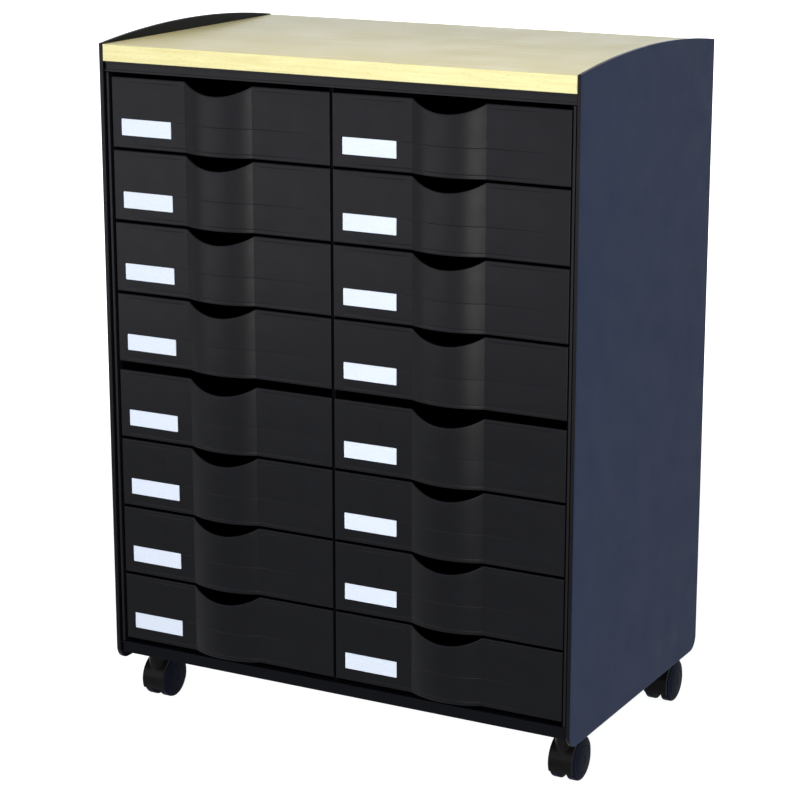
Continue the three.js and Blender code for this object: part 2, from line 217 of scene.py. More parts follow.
def lathe(bm, profile, matrix, steps=LATHE_STEPS):
    """Turns a profile of (radius, height) that starts and ends on Z round it, placed with matrix"""
    rows = []
    for i in range(steps):
        angle = 2 * math.pi * i / steps
        spin = Vector((math.cos(angle), math.sin(angle), 0))
        places = [matrix @ (spin * radius + Vector((0, 0, height))) for radius, height in profile]
        rows.append([bm.verts.new(place) for place in places])
    for near, far in zip(rows, rows[1:] + rows[:1]):
        for i in range(len(profile) - 1):
            bm.faces.new((near[i], near[i + 1], far[i + 1], far[i]))


def quarter_turn(steps):
    """Angles of a quarter turn in even steps"""
    return [math.pi / 2 * i / steps for i in range(steps + 1)]


def quarter(radius, steps=ROUND_STEPS):
    """Steps of a rounded edge: how far in from the edge and how far back from the face"""
    turns = quarter_turn(steps)
    return [(radius * (1 - math.sin(turn)), radius * (1 - math.cos(turn))) for turn in turns]


def arc_radius(chord, rise):
    """Radius of an arc over a chord that rises by a height"""
    return (chord ** 2 / 4 + rise ** 2) / (2 * rise)


def corner_arc(centre, radius, start, steps):
    """Points of a quarter circle round a centre, from a starting angle"""
    x, y = centre
    angles = [start + turn for turn in quarter_turn(steps)]
    return [(x + radius * math.cos(angle), y + radius * math.sin(angle)) for angle in angles]


def rounded_rectangle(low, high, radii):
    """Points round a rectangle; radii are for the corners low-low, high-low, high-high, low-high"""
    (x0, y0), (x1, y1) = low, high
    corners = ((x0, y0), (x1, y0), (x1, y1), (x0, y1))
    inwards = ((1, 1), (-1, 1), (-1, -1), (1, -1))
    starts = (math.pi, 1.5 * math.pi, 0, 0.5 * math.pi)
    points = []
    for (x, y), (to_x, to_y), radius, start in zip(corners, inwards, radii, starts):
        centre = (x + to_x * radius, y + to_y * radius)
        points += corner_arc(centre, radius, start, CORNER_STEPS)
    return points


def plain_box(bm, low, high):
    """A box between two corners"""
    middle = (Vector(low) + Vector(high)) / 2
    size = Vector(high) - Vector(low)
    matrix = Matrix.Translation(middle) @ Matrix.Diagonal((*size, 1))
    return bmesh.ops.create_cube(bm, size=1, matrix=matrix)


def bevelled_box(bm, low, high, radius, steps=BOX_EDGE_STEPS):
    """A box with rounded edges between two corners"""
    made = plain_box(bm, low, high)
    edges = list({edge for vert in made["verts"] for edge in vert.link_edges})
    bmesh.ops.bevel(bm, geom=edges, offset=radius, segments=steps, profile=0.5, affect="EDGES")


def evaluated(thing, name):
    """The mesh of an object with its modifiers applied; the object goes"""
    bpy.context.view_layer.update()
    depsgraph = bpy.context.evaluated_depsgraph_get()
    mesh = bpy.data.meshes.new_from_object(thing.evaluated_get(depsgraph))
    mesh.name = name
    bpy.data.objects.remove(thing)
    return mesh


def combined(name, base, steps):
    """The mesh left when each (operation, mesh) is applied to the base mesh in turn"""
    thing = link(name, base)
    tools = []
    for operation, mesh in steps:
        tool = link(f"{name}_tool", mesh)
        tools.append(tool)
        change = thing.modifiers.new("Change", "BOOLEAN")
        change.operation = operation
        change.solver = "EXACT"
        change.object = tool
    mesh = evaluated(thing, name)
    for tool in tools:
        bpy.data.objects.remove(tool)
    return mesh


def shaded(mesh, bevel=0):
    """The mesh made smooth but for its sharp edges; bevel is the radius that rounds these"""
    thing = link(f"{mesh.name}_shading", mesh)
    if bevel:
        rounding = thing.modifiers.new("Rounding", "BEVEL")
        rounding.width = bevel
        rounding.segments = EDGE_STEPS
        rounding.limit_method = "ANGLE"
        rounding.angle_limit = SHARP_ANGLE
        mesh = evaluated(thing, mesh.name)
        thing = link(f"{mesh.name}_shading", mesh)
    mesh.shade_smooth()
    mesh.set_sharp_from_angle(angle=SHARP_ANGLE)
    normals = thing.modifiers.new("Normals", "WEIGHTED_NORMAL")
    normals.keep_sharp = True
    return evaluated(thing, mesh.name)


def piece(name, mesh, materials, body, nodes=(), at=(0, 0, 0)):
    """A finished piece on its body, standing for CAD nodes"""
    thing = link(name, mesh)
    thing.location = at
    if not mesh.materials:
        for material in materials:
            mesh.materials.append(material)
    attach(thing, body)
    if nodes:
        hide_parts(*nodes)
    return thing


def body_of_node(node):
    """The body whose list holds the node"""
    bodies = frame["record"]["behaviour"]["bodies"]
    return next(body for body, members in bodies.items() if node in members)


def node_copy(node):
    """A node's own mesh with its flat stretches merged, ready for rounding"""
    mesh = frame["nodes"][node].data.copy()
    mesh.materials.clear()
    bm = bmesh.new()
    bm.from_mesh(mesh)
    bmesh.ops.remove_doubles(bm, verts=bm.verts, dist=WELD)
    bmesh.ops.dissolve_limit(bm, angle_limit=FLAT_ANGLE, verts=bm.verts, edges=bm.edges)
    bm.to_mesh(mesh)
    bm.free()
    for layer in [found.name for found in mesh.attributes if found.name in CAD_LAYERS]:
        mesh.attributes.remove(mesh.attributes[layer])
    mesh.name = f"{node}_form"
    return mesh


# Materials

CLOUD_SCALE = 9  # scales of noise are in waves in a metre
SPECK_SHARE = 0.6  # scale of the specks of colour against the grain's
WEAR_SCALE = 26
WOOD_WEAR_SCALE = 14
WOOD_DRIFT = (1.6, 11, 11)  # along the grain and across it
WOOD_DASH = (150, 900, 900)
WOOD_PORE = (130, 1500, 1500)
CARD_FIBRE_SCALE = 420
CARD_RELIEF_SCALE = 1500
BLOOM_SCALE = 60
TURNING_LINES = (90, 90, 3000)
GRAIN_DEPTH = 0.25 * MM
PORE_DEPTH = 0.15 * MM
FIBRE_DEPTH = 0.1 * MM
LINE_DEPTH = 0.1 * MM
NOISE_SPAN = (0.3, 0.7)  # where most values of a noise lie
DASH_SPAN = (0.6, 0.72)
MIX_FACTOR, MIX_FIRST, MIX_SECOND, MIX_RESULT = 0, 6, 7, 2  # sockets of a node that mixes colours


def feed(tree, socket, value):
    """Gives an input its value, which is another node's output or a constant"""
    if isinstance(value, bpy.types.NodeSocket):
        tree.links.new(value, socket)
    else:
        socket.default_value = value


def arithmetic(tree, operation, first, second):
    """The result of one sum in a node tree; each part is a socket or a number"""
    made = tree.nodes.new("ShaderNodeMath")
    made.operation = operation
    feed(tree, made.inputs[0], first)
    feed(tree, made.inputs[1], second)
    return made.outputs["Value"]


class Finish:
    """A procedural material under construction, with its surface shader and its coordinates"""

    def __init__(self, name, roughness, specular):
        self.material = bpy.data.materials.new(name)
        self.material.use_nodes = True
        self.tree = self.material.node_tree
        self.surface = self.tree.nodes["Principled BSDF"]
        self.surface.inputs["Roughness"].default_value = roughness
        self.surface.inputs["Specular IOR Level"].default_value = specular
        self.place = self.tree.nodes.new("ShaderNodeTexCoord").outputs["Object"]

    def node(self, kind, inputs, **settings):
        """A new node with its settings and inputs"""
        made = self.tree.nodes.new(kind)
        for key, value in settings.items():
            setattr(made, key, value)
        for key, value in inputs.items():
            feed(self.tree, made.inputs[key], value)
        return made

    def stretched(self, scale):
        """The coordinates scaled along each axis"""
        mapping = self.node("ShaderNodeMapping", {"Vector": self.place, "Scale": scale})
        return mapping.outputs["Vector"]

    def noise(self, scale, detail=2, roughness=0.5, stretch=None, distortion=0):
        """Noise over the coordinates, or over stretched ones"""
        inputs = {
            "Vector": self.stretched(stretch) if stretch else self.place,
            "Scale": scale,
            "Detail": detail,
            "Roughness": roughness,
            "Distortion": distortion,
        }
        return self.node("ShaderNodeTexNoise", inputs).outputs["Fac"]

    def blend(self, factor, first, second):
        """A mix of two colours by a factor"""
        inputs = {MIX_FACTOR: factor, MIX_FIRST: first, MIX_SECOND: second}
        return self.node("ShaderNodeMix", inputs, data_type="RGBA").outputs[MIX_RESULT]

    def range(self, value, low, high, span=NOISE_SPAN):
        """The value led from its span to the one from low to high"""
        inputs = {
            "Value": value,
            "From Min": span[0],
            "From Max": span[1],
            "To Min": low,
            "To Max": high,
        }
        return self.node("ShaderNodeMapRange", inputs).outputs["Result"]

    def sum(self, first, second):
        return arithmetic(self.tree, "ADD", first, second)

    def colour(self, socket):
        self.tree.links.new(socket, self.surface.inputs["Base Color"])

    def gloss(self, socket):
        self.tree.links.new(socket, self.surface.inputs["Roughness"])

    def relief(self, height, strength, distance):
        """A bump from a height that is a share of a distance"""
        inputs = {"Height": height, "Strength": strength, "Distance": distance}
        bump = self.node("ShaderNodeBump", inputs)
        self.tree.links.new(bump.outputs["Normal"], self.surface.inputs["Normal"])


def linear(red, green, blue):
    """A colour given as it looks on screen, 0 to 255, for a shader"""
    def channel(value):
        share = value / 255
        return share / 12.92 if share <= 0.04045 else ((share + 0.055) / 1.055) ** 2.4
    return (channel(red), channel(green), channel(blue), 1)


def scaled(colour, factor):
    """A colour made darker or lighter"""
    return (colour[0] * factor, colour[1] * factor, colour[2] * factor, 1)


def moulded(name, colour, roughness, specular, grain=0.1, mottle=0.1, grain_scale=1100):
    """Moulded plastic or coated sheet: a fine even grain, faint clouding and uneven gloss"""
    finish = Finish(name, roughness, specular)
    cloud = finish.noise(CLOUD_SCALE, detail=4, roughness=0.6)
    speck = finish.noise(grain_scale * SPECK_SHARE, detail=1)
    tone = finish.sum(finish.range(cloud, 0, 0.7), finish.range(speck, 0, 0.3))
    finish.colour(finish.blend(tone, scaled(colour, 1 - mottle), scaled(colour, 1 + mottle)))
    wear = finish.noise(WEAR_SCALE, detail=5, roughness=0.65)
    finish.gloss(finish.range(wear, roughness - 0.05, roughness + 0.06))
    fine = finish.noise(grain_scale, detail=2, roughness=0.55)
    finish.relief(fine, grain, GRAIN_DEPTH)
    return finish.material


def wooden(name, light, dark, fleck, roughness, specular, along_streak):
    """Beech: long streaks, a broad drift of tone and short dark flecks along the grain"""
    finish = Finish(name, roughness, specular)
    streak = finish.noise(1, detail=6, roughness=0.62, stretch=along_streak, distortion=0.15)
    drift = finish.noise(1, detail=3, roughness=0.5, stretch=WOOD_DRIFT, distortion=0.4)
    tone = finish.sum(finish.range(streak, 0, 0.62), finish.range(drift, 0, 0.38))
    ground = finish.blend(tone, dark, light)
    dash = finish.noise(1, detail=2, roughness=0.6, stretch=WOOD_DASH)
    dashes = finish.range(dash, 0, 0.55, span=DASH_SPAN)
    finish.colour(finish.blend(dashes, ground, fleck))
    pore = finish.noise(1, detail=3, stretch=WOOD_PORE)
    finish.relief(pore, 0.12, PORE_DEPTH)
    wear = finish.noise(WOOD_WEAR_SCALE, detail=4)
    finish.gloss(finish.range(wear, roughness - 0.04, roughness + 0.05))
    return finish.material


def card_stock(name):
    """White label card with a soft fibre"""
    finish = Finish(name, 0.55, 0.2)
    fibre = finish.noise(CARD_FIBRE_SCALE, detail=5, roughness=0.7)
    tone = finish.range(fibre, 0, 1)
    finish.colour(finish.blend(tone, linear(211, 221, 234), linear(223, 231, 242)))
    finish.relief(finish.noise(CARD_RELIEF_SCALE, detail=3), 0.08, FIBRE_DEPTH)
    return finish.material


def plated(name):
    """Bright zinc plating with fine turning lines and a patchy bloom"""
    finish = Finish(name, 0.3, 0.5)
    finish.surface.inputs["Metallic"].default_value = 1
    bloom = finish.noise(BLOOM_SCALE, detail=5, roughness=0.7)
    tone = finish.range(bloom, 0, 1)
    finish.colour(finish.blend(tone, linear(158, 160, 163), linear(190, 191, 192)))
    lines = finish.noise(1, detail=2, stretch=TURNING_LINES)
    finish.gloss(finish.range(lines, 0.22, 0.42))
    finish.relief(lines, 0.1, LINE_DEPTH)
    return finish.material


# Each after its name and colour has its roughness and how strongly it mirrors
charcoal = moulded("drawer_charcoal", linear(11, 12, 16), 0.3, 0.094)
# The panels' slate blue is partly their own colour and partly painted bluish light from the right
panel_slate_and_blue_light = moulded(
    "panel_slate_and_blue_light", linear(45, 54, 77), 0.5, 0.04, grain=0.14, mottle=0.05, grain_scale=900
)
panel_edging = moulded("panel_edging", linear(11, 12, 16), 0.3, 0.09)
frame_coat = moulded("frame_coat", linear(15, 15, 18), 0.34, 0.11, grain=0.2, grain_scale=800)
# The base's coat is the frame's coat made darker, bluer and duller: painted shade for the dimmer
# light low down
base_coat_painted_shade = moulded("base_coat_painted_shade", linear(10, 11, 16), 0.34, 0.04, grain=0.2, grain_scale=800)
back_lacquer = moulded(
    "back_lacquer", linear(32, 32, 34), 0.6, 0.1, grain=0.25, mottle=0.16, grain_scale=500
)
module_plastic = moulded("module_plastic", linear(6, 6, 8), 0.55, 0.02)
hood_nylon = moulded("hood_nylon", linear(15, 14, 14), 0.34, 0.05)
# The wheels are the hood's black nylon with painted bluish light from the right in their colour
wheel_nylon_painted_blue_light = moulded("wheel_nylon_painted_blue_light", linear(20, 23, 36), 0.4, 0.01)
card = card_stock("label_card")
zinc = plated("zinc_plating")
screw_black = moulded("screw_black", linear(30, 30, 32), 0.35, 0.4)
beech_face = wooden(
    "beech_face",
    light=linear(238, 228, 174),
    dark=linear(222, 207, 149),
    fleck=linear(200, 180, 124),
    roughness=0.36,
    specular=0.085,
    along_streak=(5, 190, 190),
)
beech_edge = wooden(
    "beech_edge",
    light=linear(238, 234, 181),
    dark=linear(216, 205, 142),
    fleck=linear(192, 171, 106),
    roughness=0.5,
    specular=0.12,
    along_streak=(14, 120, 260),
)


# Drawers: one form, placed sixteen times

label_low, label_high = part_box("label_left_1")
drawer_low, drawer_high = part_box("drawer_left_1")
front_half = (drawer_high.x - drawer_low.x) / 2
front_height = drawer_high.z - drawer_low.z
front_face = label_low.y
bulge_proud = front_face - drawer_low.y
tray_back = drawer_high.y - front_face
drawer_middle = (drawer_high.x + drawer_low.x) / 2
bulge_radius = arc_radius(BULGE_WIDTH, bulge_proud)
bulge_centre = bulge_radius - bulge_proud
bulge_half_angle = math.asin(BULGE_WIDTH / 2 / bulge_radius)
scoop_radius = arc_radius(BULGE_WIDTH, SCOOP_DEPTH)
label_left = label_low.x - drawer_middle
label_right = label_high.x - drawer_middle
label_foot = label_low.z - drawer_low.z
label_top = label_high.z - drawer_low.z


def edge_drop(distance, radius):
    """How far a rounded edge falls back at a distance from the edge"""
    if distance >= radius:
        return 0
    return radius - math.sqrt(max(radius ** 2 - (radius - distance) ** 2, 0))


def bulge_depth(x):
    """The front's surface at x, before grooves and rounded edges"""
    if abs(x) >= BULGE_WIDTH / 2:
        return 0
    return bulge_centre - math.sqrt(bulge_radius ** 2 - x ** 2)


def top_edge(x):
    """Height of the front at x: straight but for the scoop"""
    if abs(x) >= BULGE_WIDTH / 2:
        return front_height
    return front_height - SCOOP_DEPTH + scoop_radius - math.sqrt(scoop_radius ** 2 - x ** 2)


groove_end = front_half - GROOVE_SIDE_INSET
groove_scoop = BULGE_WIDTH / 2 + GROOVE_BULGE_GAP
GROOVES = (
    (GROOVE_EDGE_INSET, ((-groove_end, groove_end),)),
    (label_top, ((label_right + GROOVE_LABEL_GAP, groove_end),)),
    (front_height - GROOVE_EDGE_INSET, ((-groove_end, -groove_scoop), (groove_scoop, groove_end))),
)


def groove_depth(x, height):
    """How deep the fine lines pressed into the front are at a point of its grid"""
    for level, spans in GROOVES:
        if abs(height - level) < WELD:
            for start, end in spans:
                inside = min(x - start, end - x)
                if inside > 0:
                    return GROOVE_DEPTH * min(inside / GROOVE_TAPER, 1)
    return 0


def front_stations():
    """Where the front is cut across: rounded sides, groove ends and the bulge's arc"""
    stations = [front_half - inset for inset, _ in quarter(FRONT_ROUND)]
    for _, spans in GROOVES:
        for start, end in spans:
            stations += [start, start + GROOVE_TAPER, end - GROOVE_TAPER, end]
    stations += [BULGE_WIDTH / 2 - BULGE_CREASE, BULGE_WIDTH / 2, BULGE_WIDTH / 2 + BULGE_CREASE]
    stations += [-x for x in stations]
    for i in range(1, BULGE_STEPS):
        stations.append(bulge_radius * math.sin(bulge_half_angle * (2 * i / BULGE_STEPS - 1)))
    kept = []
    for x in sorted(stations):
        if not kept or x - kept[-1] > WELD:
            kept.append(x)
    return kept


def front_levels():
    """Heights of the front's rows on its straight part"""
    insets = [inset for inset, _ in quarter(FRONT_ROUND)]
    levels = insets + [front_height - inset for inset in insets]
    for level, _ in GROOVES:
        levels += [level - GROOVE_HALF, level, level + GROOVE_HALF]
    return sorted(levels)


def front_form(bm):
    """The front panel as a solid slab with its bulge, scoop, rounded edges and fine lines"""
    levels = front_levels()
    rings = []
    for x in front_stations():
        side = front_half - abs(x)
        top = top_edge(x)
        squeeze = (top - SCOOP_LEVEL_START) / (front_height - SCOOP_LEVEL_START)
        ring = [(x, FRONT_THICKNESS, 0)]
        for level in levels:
            height = level
            if level > SCOOP_LEVEL_START:
                height = SCOOP_LEVEL_START + (level - SCOOP_LEVEL_START) * squeeze
            drop = edge_drop(min(side, level, front_height - level), FRONT_ROUND)
            ring.append((x, bulge_depth(x) + drop + groove_depth(x, level), height))
        ring.append((x, FRONT_THICKNESS, top))
        rings.append(ring)
    skin(bm, rings)


tray_half = front_half - TRAY_SIDE_INSET
rim_top = front_height - TRAY_RIM_DROP
floor_top = TRAY_LIFT + TRAY_WALL


def tray_form(bm):
    """The tray as a shell: foot, walls, sliding rims along the sides, inside and floor"""
    rings = []

    def ring(height, inset=0, reach=0):
        corner = max(TRAY_CORNER - inset, TRAY_FRONT_CORNER)
        radii = (TRAY_FRONT_CORNER, TRAY_FRONT_CORNER, corner, corner)
        half = tray_half + reach - inset
        low = (-half, TRAY_IN_FRONT + inset)
        high = (half, tray_back - inset)
        rings.append([(x, y, height) for x, y in rounded_rectangle(low, high, radii)])

    for inset, rise in quarter(TRAY_FOOT_ROUND):
        ring(TRAY_LIFT + rise, inset)
    rim_foot = rim_top - RIM_THICKNESS
    ring(rim_foot)
    for inset, rise in quarter(RIM_ROUND):
        ring(rim_foot + rise, 0, RIM_REACH - inset)
    for inset, rise in quarter(RIM_ROUND)[::-1]:
        ring(rim_top - rise, inset, RIM_REACH)
    for inset, rise in quarter(RIM_ROUND):
        ring(rim_top - rise, TRAY_WALL - inset)
    for rise, inset in quarter(TRAY_FLOOR_FILLET):
        ring(floor_top + rise, TRAY_WALL + inset)
    skin(bm, rings)


def mouth_form(bm):
    """What opens the front end of the tray and hollows the bulge behind its skin"""
    over = front_height + TRAY_RIM_DROP
    half = tray_half - TRAY_WALL
    behind = TRAY_IN_FRONT + TRAY_WALL + TRAY_FLOOR_FILLET
    inner = bulge_radius - FRONT_THICKNESS
    reach = math.asin(math.sqrt(inner ** 2 - (bulge_centre - FRONT_THICKNESS) ** 2) / inner)
    plan = [(half, behind), (-half, behind), (-half, FRONT_THICKNESS)]
    for i in range(BULGE_STEPS + 1):
        angle = reach * (2 * i / BULGE_STEPS - 1)
        plan.append((inner * math.sin(angle), bulge_centre - inner * math.cos(angle)))
    plan.append((half, FRONT_THICKNESS))
    skin(bm, [[(x, y, height) for x, y in plan] for height in (floor_top, over)])


def pocket_form(bm):
    """The shallow pocket that the label card lies in"""
    low = (label_left - LABEL_PLAY, label_foot - LABEL_PLAY)
    high = (label_right + LABEL_PLAY, label_top + LABEL_PLAY)
    outline = rounded_rectangle(low, high, (POCKET_CORNER,) * 4)
    skin(bm, [[(x, y, z) for x, z in outline] for y in (-bulge_proud, POCKET_DEPTH)])


def stop_tabs(bm):
    """The tabs on the rims that stop the drawer before it falls out"""
    width, length, height = STOP_TAB
    rim_half = tray_half + RIM_REACH
    start = tray_back - STOP_TAB_BACK
    for inner, outer in ((-rim_half, width - rim_half), (rim_half - width, rim_half)):
        low = (inner, start, rim_top - STOP_TAB_SINK)
        high = (outer, start + length, rim_top + height)
        bevelled_box(bm, low, high, RIM_ROUND)


def card_form(bm):
    """A label card with rounded corners and softened edges"""
    thickness = label_high.y - label_low.y
    rings = []
    for inset, rise in quarter(CARD_ROUND, CARD_EDGE_STEPS):
        low = (label_left + inset, label_foot + inset)
        high = (label_right - inset, label_top - inset)
        outline = rounded_rectangle(low, high, (LABEL_CORNER - inset,) * 4)
        rings.append([(x, rise, z) for x, z in outline])
    rings.append([(x, thickness, z) for x, _, z in rings[-1]])
    skin(bm, rings)


def make_drawers():
    """All drawers with their cards"""
    drawer = combined(
        "drawer_form",
        mesh_of("front_form", front_form),
        (
            ("UNION", mesh_of("tray_form", tray_form)),
            ("UNION", mesh_of("stop_tabs", stop_tabs)),
            ("DIFFERENCE", mesh_of("mouth_form", mouth_form)),
            ("DIFFERENCE", mesh_of("pocket_form", pocket_form)),
        ),
    )
    drawer = shaded(drawer)
    label = shaded(mesh_of("card_form", card_form))
    for column in COLUMNS:
        for number in range(1, DRAWERS_IN_COLUMN + 1):
            node = f"drawer_{column}_{number}"
            low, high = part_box(node)
            at = ((low.x + high.x) / 2, front_face, low.z)
            piece(f"{node}_moulding", drawer, (charcoal,), node, (node,), at)
            card_node = f"label_{column}_{number}"
            piece(f"{card_node}_card", label, (card,), node, (card_node,), at)


# Frame, modules, board, panels and back

# Each banded node with its coat and how far above its foot and below its top the band lies
FRAME_BANDS = (
    # the base's coat holds painted shade, darker than the top frame's coat
    ("base_frame", base_coat_painted_shade, -BAND_OVERRUN, BEAD_HEIGHT),
    ("top_frame", frame_coat, BEAD_HEIGHT, BEAD_HEIGHT),
)


def band_form(node, above_foot, below_top):
    """A cutter that sinks a band round a node's outside and leaves beads at its edges"""
    low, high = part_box(node)
    foot, top = low.z + above_foot, high.z - below_top

    def build(bm):
        rings = []
        inner, outer = BEAD_PROUD, -BAND_OVERRUN
        for inset, height in ((inner, foot), (inner, top), (outer, top), (outer, foot)):
            near = (low.x + inset, low.y + inset)
            far = (high.x - inset, high.y - inset)
            plan = rounded_rectangle(near, far, (FRAME_CORNER,) * 4)
            rings.append([(x, y, height) for x, y in plan])
        skin(bm, rings, closed=True)
    return build


def make_frame():
    """Base and top frame, uprights and module housings"""
    for node, coat, above_foot, below_top in FRAME_BANDS:
        band = mesh_of(f"{node}_band", band_form(node, above_foot, below_top))
        pan = combined(f"{node}_pan", node_copy(node), (("DIFFERENCE", band),))
        pan = shaded(pan, bevel=BEAD_ROUND)
        piece(f"{node}_pan", pan, (coat,), "carcass", (node,))
    for column in COLUMNS:
        node = f"frame_upright_{column}"
        upright = shaded(node_copy(node), bevel=SHEET_ROUND)
        piece(f"{node}_sheet", upright, (frame_coat,), "carcass", (node,))
    for tier in TIERS:
        for column in COLUMNS:
            node = f"module_{tier}_{column}"
            housing = shaded(node_copy(node), bevel=MODULE_ROUND)
            piece(f"{node}_housing", housing, (module_plastic,), "carcass", (node,))


def make_board():
    """The top board, with its grain on both faces and its edging"""
    low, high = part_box("top_board")
    board = mesh_of("board_form", lambda bm: bevelled_box(bm, low, high, BOARD_ROUND, EDGE_STEPS))
    board = shaded(board)
    board.materials.append(beech_face)
    board.materials.append(beech_edge)
    for face in board.polygons:
        face.material_index = 0 if abs(face.normal.z) > BOARD_FACE_SHARE else 1
    piece("top_board_beech", board, (), "carcass", ("top_board",))


def panel_outline(low, high, inset):
    """Side view of a side panel, drawn in by inset: rounded feet and a crowned top edge"""
    depth = high.y - low.y
    middle = (low.y + high.y) / 2
    crown_radius = arc_radius(depth, PANEL_CROWN)
    crown_centre = high.z - crown_radius
    foot = low.z + PANEL_FOOT_RADIUS
    front, rear = low.y + PANEL_FOOT_RADIUS, high.y - PANEL_FOOT_RADIUS
    points = []
    for centre, start in ((front, math.pi), (rear, 1.5 * math.pi)):
        points += corner_arc((centre, foot), PANEL_FOOT_RADIUS - inset, start, PANEL_FOOT_STEPS)
    radius = crown_radius - inset
    reach = math.asin((depth / 2 - inset) / radius)
    for i in range(PANEL_ARC_STEPS + 1):
        angle = reach * (1 - 2 * i / PANEL_ARC_STEPS)
        points.append((middle + radius * math.sin(angle), crown_centre + radius * math.cos(angle)))
    return points


def make_panels():
    """Both side panels, dark on their edges and insides; their slate outside is partly their own
    colour, partly painted bluish light
    """
    for column in COLUMNS:
        node = f"side_panel_{column}"
        low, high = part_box(node)

        def panel_form(bm):
            sides = [(low.x + rise, inset) for inset, rise in quarter(PANEL_ROUND)]
            sides += [(high.x - rise, inset) for inset, rise in quarter(PANEL_ROUND)[::-1]]
            rings = []
            for x, inset in sides:
                rings.append([(x, y, z) for y, z in panel_outline(low, high, inset)])
            skin(bm, rings)

        panel = shaded(mesh_of(f"{node}_form", panel_form))
        panel.materials.append(panel_slate_and_blue_light)
        panel.materials.append(panel_edging)
        outward = math.copysign(1, low.x + high.x)
        for face in panel.polygons:
            face.material_index = 0 if face.normal.x * outward > PANEL_FACE_SHARE else 1
        piece(f"{node}_board", panel, (), "carcass", (node,))


def screw_form(bm):
    """A low round head, lying in its own plane with +Z outwards"""
    profile = [(0, 0), (SCREW_HEAD_RADIUS, 0)]
    for turn in quarter_turn(ROUND_STEPS):
        share = SCREW_RIM_SHARE + (1 - SCREW_RIM_SHARE) * math.sin(turn)
        profile.append((SCREW_HEAD_RADIUS * math.cos(turn), SCREW_HEAD_HEIGHT * share))
    lathe(bm, profile, Matrix.Identity(4), steps=SCREW_STEPS)


def slot_arm(across, along):
    """One arm of a screw's cross recess"""
    depth = SCREW_SLOT[2]
    low = (-across / 2, -along / 2, SCREW_HEAD_HEIGHT - depth)
    high = (across / 2, along / 2, SCREW_HEAD_HEIGHT + depth)
    return ("DIFFERENCE", mesh_of("slot_arm", lambda bm: plain_box(bm, low, high)))


def make_back():
    """The back panel and the heads of its screws, all round its edge"""
    low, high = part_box("back_panel")
    back = shaded(mesh_of("back_form", lambda bm: bevelled_box(bm, low, high, BACK_ROUND)))
    piece("back_panel_sheet", back, (back_lacquer,), "carcass", ("back_panel",))
    length, width, _ = SCREW_SLOT
    head = mesh_of("screw_form", screw_form)
    head = shaded(combined("screw_head", head, (slot_arm(length, width), slot_arm(width, length))))
    head.transform(Matrix.Rotation(-math.pi / 2, 4, "X"))
    left, right = low.x + SCREW_EDGE_INSET, high.x - SCREW_EDGE_INSET
    foot, top = low.z + SCREW_EDGE_INSET, high.z - SCREW_EDGE_INSET
    places = []
    for i in range(SCREWS_ACROSS):
        x = left + (right - left) * (i + 0.5) / SCREWS_ACROSS
        places += [(x, foot), (x, top)]
    for i in range(SCREWS_DOWN):
        z = foot + (top - foot) * (i + 0.5) / SCREWS_DOWN
        places += [(left - SCREW_EDGE_INSET / 2, z), (right + SCREW_EDGE_INSET / 2, z)]
    for number, (x, z) in enumerate(places, 1):
        at = (x, high.y, z)
        piece(f"back_screw_{number}", head, (screw_black,), "carcass", at=at)


# Casters

def turned(name, profile, matrix=Matrix.Identity(4)):
    """The mesh of a profile of (radius, height) turned round Z and placed with matrix"""
    return mesh_of(name, lambda bm: lathe(bm, profile, matrix))


def rounded_bar(radius, low, high, rounding):
    """Profile of a bar between two heights with rounded rims"""
    rims = quarter(rounding)
    profile = [(0, low)]
    profile += [(radius - inset, low + rise) for inset, rise in rims]
    profile += [(radius - inset, high - rise) for inset, rise in rims[::-1]]
    return profile + [(0, high)]


def wheel_profile(inner, outer, radius):
    """Half section of a wheel from its inner face to the tip of its domed cap"""
    bore = AXLE_RADIUS + AXLE_PLAY
    bore_end = AXLE_REACH + AXLE_PLAY
    fall, width = WHEEL_SHOULDER
    shoulder = radius - fall
    tread_end = outer - WHEEL_TREAD_END
    profile = [(0, bore_end), (bore, bore_end), (bore, inner)]
    profile += [(radius - inset, inner + rise) for inset, rise in quarter(WHEEL_INNER_ROUND)]
    for turn in quarter_turn(WHEEL_SHOULDER_STEPS):
        profile.append((shoulder + fall * math.cos(turn), tread_end + width * math.sin(turn)))
    rise = outer - tread_end - width
    floor = CAP_GROOVE_FLOOR_SHARE
    rings = [CAP_GROOVE_RADIUS + share * CAP_GROOVE_HALF for share in (1, floor, -floor, -1)]
    rings += [shoulder * (1 - i / CAP_STEPS) for i in range(1, CAP_STEPS)]
    rings += [HUB_RADIUS + HUB_EDGE, HUB_RADIUS]
    for place in sorted(rings, reverse=True):
        depth = 0
        if abs(place - CAP_GROOVE_RADIUS) < CAP_GROOVE_HALF - WELD:
            depth = CAP_GROOVE_DEPTH
        if place <= HUB_RADIUS:
            depth = HUB_SINK
        profile.append((place, outer - rise * (place / shoulder) ** 2 - depth))
    return profile + [(0, outer - HUB_SINK)]


def along_x(side, y, z):
    """Turns Z into the outward X of one side, at a place"""
    return Matrix.Translation((0, y, z)) @ Matrix.Rotation(side * math.pi / 2, 4, "Y")


